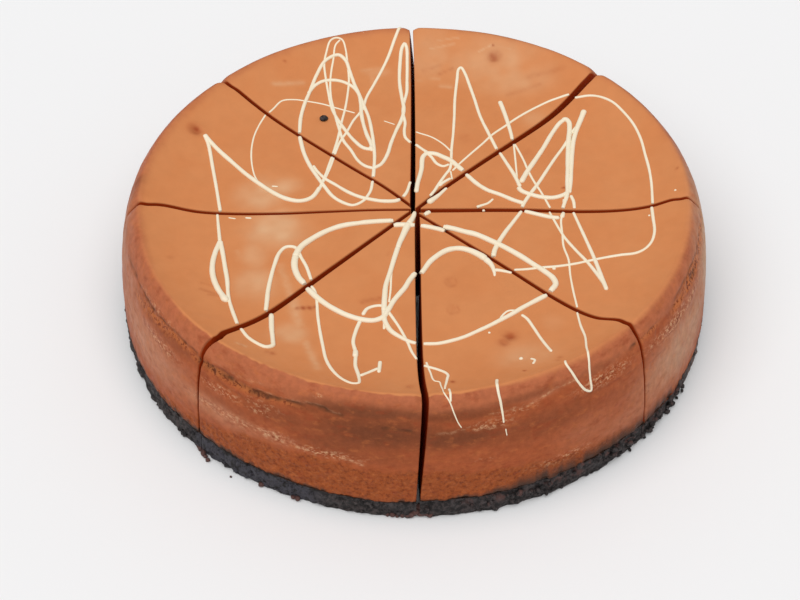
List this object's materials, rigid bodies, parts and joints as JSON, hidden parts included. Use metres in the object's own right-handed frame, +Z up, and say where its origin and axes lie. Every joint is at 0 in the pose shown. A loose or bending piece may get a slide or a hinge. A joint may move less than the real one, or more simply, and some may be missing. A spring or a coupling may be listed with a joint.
{
  "type": "chocolate cake",
  "caption": "Round chocolate cake on a dark crumb base, cut into slices that stand together, with cream drizzle on its top.",
  "frame": {"origin": "centre of the cake's base, on the surface that it stands on", "axes": "+Z up out of the top, -Y towards the front cut, +X to the right"},
  "size_m": [0.2288, 0.229, 0.0564],
  "materials": {
    "filling": "satin, smooth baked chocolate filling, darker at its side",
    "crust": "matt dark crumb, rough",
    "drizzle": "soft gloss, cream-coloured chocolate"
  },
  "bodies": {
    "root": {"filling_1": "filling", "filling_2": "filling", "filling_3": "filling", "filling_4": "filling", "filling_5": "filling", "filling_6": "filling", "filling_7": "filling", "filling_8": "filling", "crust_1": "crust", "crust_2": "crust", "crust_3": "crust", "crust_4": "crust", "crust_5": "crust", "crust_6": "crust", "crust_7": "crust", "crust_8": "crust"}
  },
  "joints": []
}
